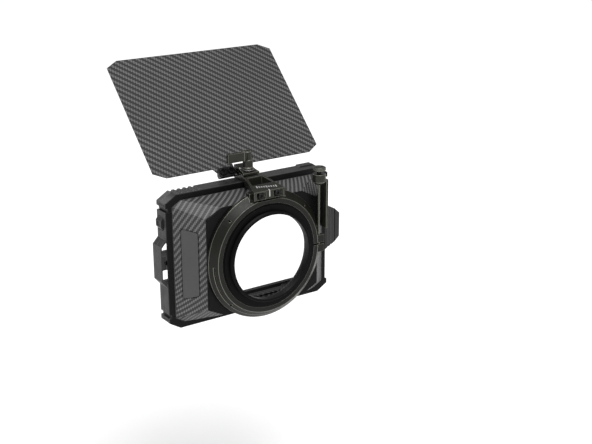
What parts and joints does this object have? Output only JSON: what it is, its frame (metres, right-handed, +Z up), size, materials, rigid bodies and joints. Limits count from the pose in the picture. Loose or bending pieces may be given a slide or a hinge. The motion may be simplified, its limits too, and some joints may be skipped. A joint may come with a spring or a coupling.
{
  "type": "lens hood",
  "caption": "Clip-on rectangular lens hood with a filter tray, a tapered carbon hood, a screw-closed lens clamp ring and a hinged top flag held by a lock lever.",
  "frame": {"origin": "centre of the lens seat, the shoulder of the adapter ring's lens thread, on the lens axis", "axes": "+Y forward along the lens axis towards the scene, +Z up, +X to the right seen from behind the camera"},
  "size_m": [0.1896, 0.1356, 0.2193],
  "materials": {
    "charcoal_plastic": "fine moulded grain, satin",
    "black_trim": "matte black",
    "carbon_weave": "carbon-fibre twill under satin resin",
    "grey_plate": "satin grey paint, blank",
    "black_plate": "matte black paint",
    "gunmetal": "bead-blasted, olive-grey anodised",
    "black_anodised": "black anodised",
    "tray_plastic": "black moulded plastic",
    "steel": "bright steel",
    "black_steel": "black-oxide steel"
  },
  "bodies": {
    "hood": {"rear_frame": "charcoal_plastic", "front_frame": "charcoal_plastic", "frame_screws": "black_steel", "rear_trim": "black_trim", "hood_shell": "carbon_weave", "nameplate": "grey_plate", "hood_screws": "black_steel", "centre_plate": "black_plate", "clamp_ring": "gunmetal", "ring_screws": "black_steel", "adapter_ring": "black_anodised", "screw_guide": "gunmetal", "top_bracket": "gunmetal", "bracket_screws": "black_steel", "lever_washer": "steel", "side_grip": "charcoal_plastic", "grip_screws": "black_steel"},
    "clamp_screw": {"clamp_screw": "gunmetal"},
    "lever": {"lock_lever": "gunmetal", "lever_stud": "steel", "lever_spring": "steel", "lever_screw": "black_steel"},
    "flag": {"flag_panel": "carbon_weave", "flag_hinge_mount": "black_anodised", "flag_strip": "black_anodised", "flag_screws": "black_steel", "spindle_washer": "black_steel", "spindle_screw": "black_steel"},
    "tray": {"filter_tray": "tray_plastic", "filter_clips": "steel", "tray_cap_rear": "charcoal_plastic", "tray_cap_front": "charcoal_plastic", "tray_cap_trim": "black_trim", "cap_screw": "black_steel", "latch_spring": "steel"},
    "latch": {"latch_button": "charcoal_plastic"}
  },
  "joints": [
    {"name": "flag_tilt", "type": "hinge", "parent": "hood", "child": "flag", "pos_m": [0, 0.0448, 0.0657], "axis": [1, 0, 0], "range_deg": [-135, 45]},
    {"name": "lever_turn", "type": "hinge", "parent": "hood", "child": "lever", "pos_m": [0, 0.0344, 0.0787], "axis": [0, 0, 1], "range_deg": [0, 120]},
    {"name": "clamp_screw_turn", "type": "hinge", "parent": "hood", "child": "clamp_screw", "pos_m": [0.0542, 0.0033, 0.03], "axis": [0, 0, 1], "continuous": true},
    {"name": "tray_slide", "type": "slide", "parent": "hood", "child": "tray", "axis": [-1, 0, 0], "range_m": [0, 0.15]},
    {"name": "latch_press", "type": "slide", "parent": "tray", "child": "latch", "axis": [1, 0, 0], "range_m": [0, 0.0018], "stiffness_N_per_m": 400, "springref_m": -0.001, "deforming": ["latch_spring"]}
  ]
}
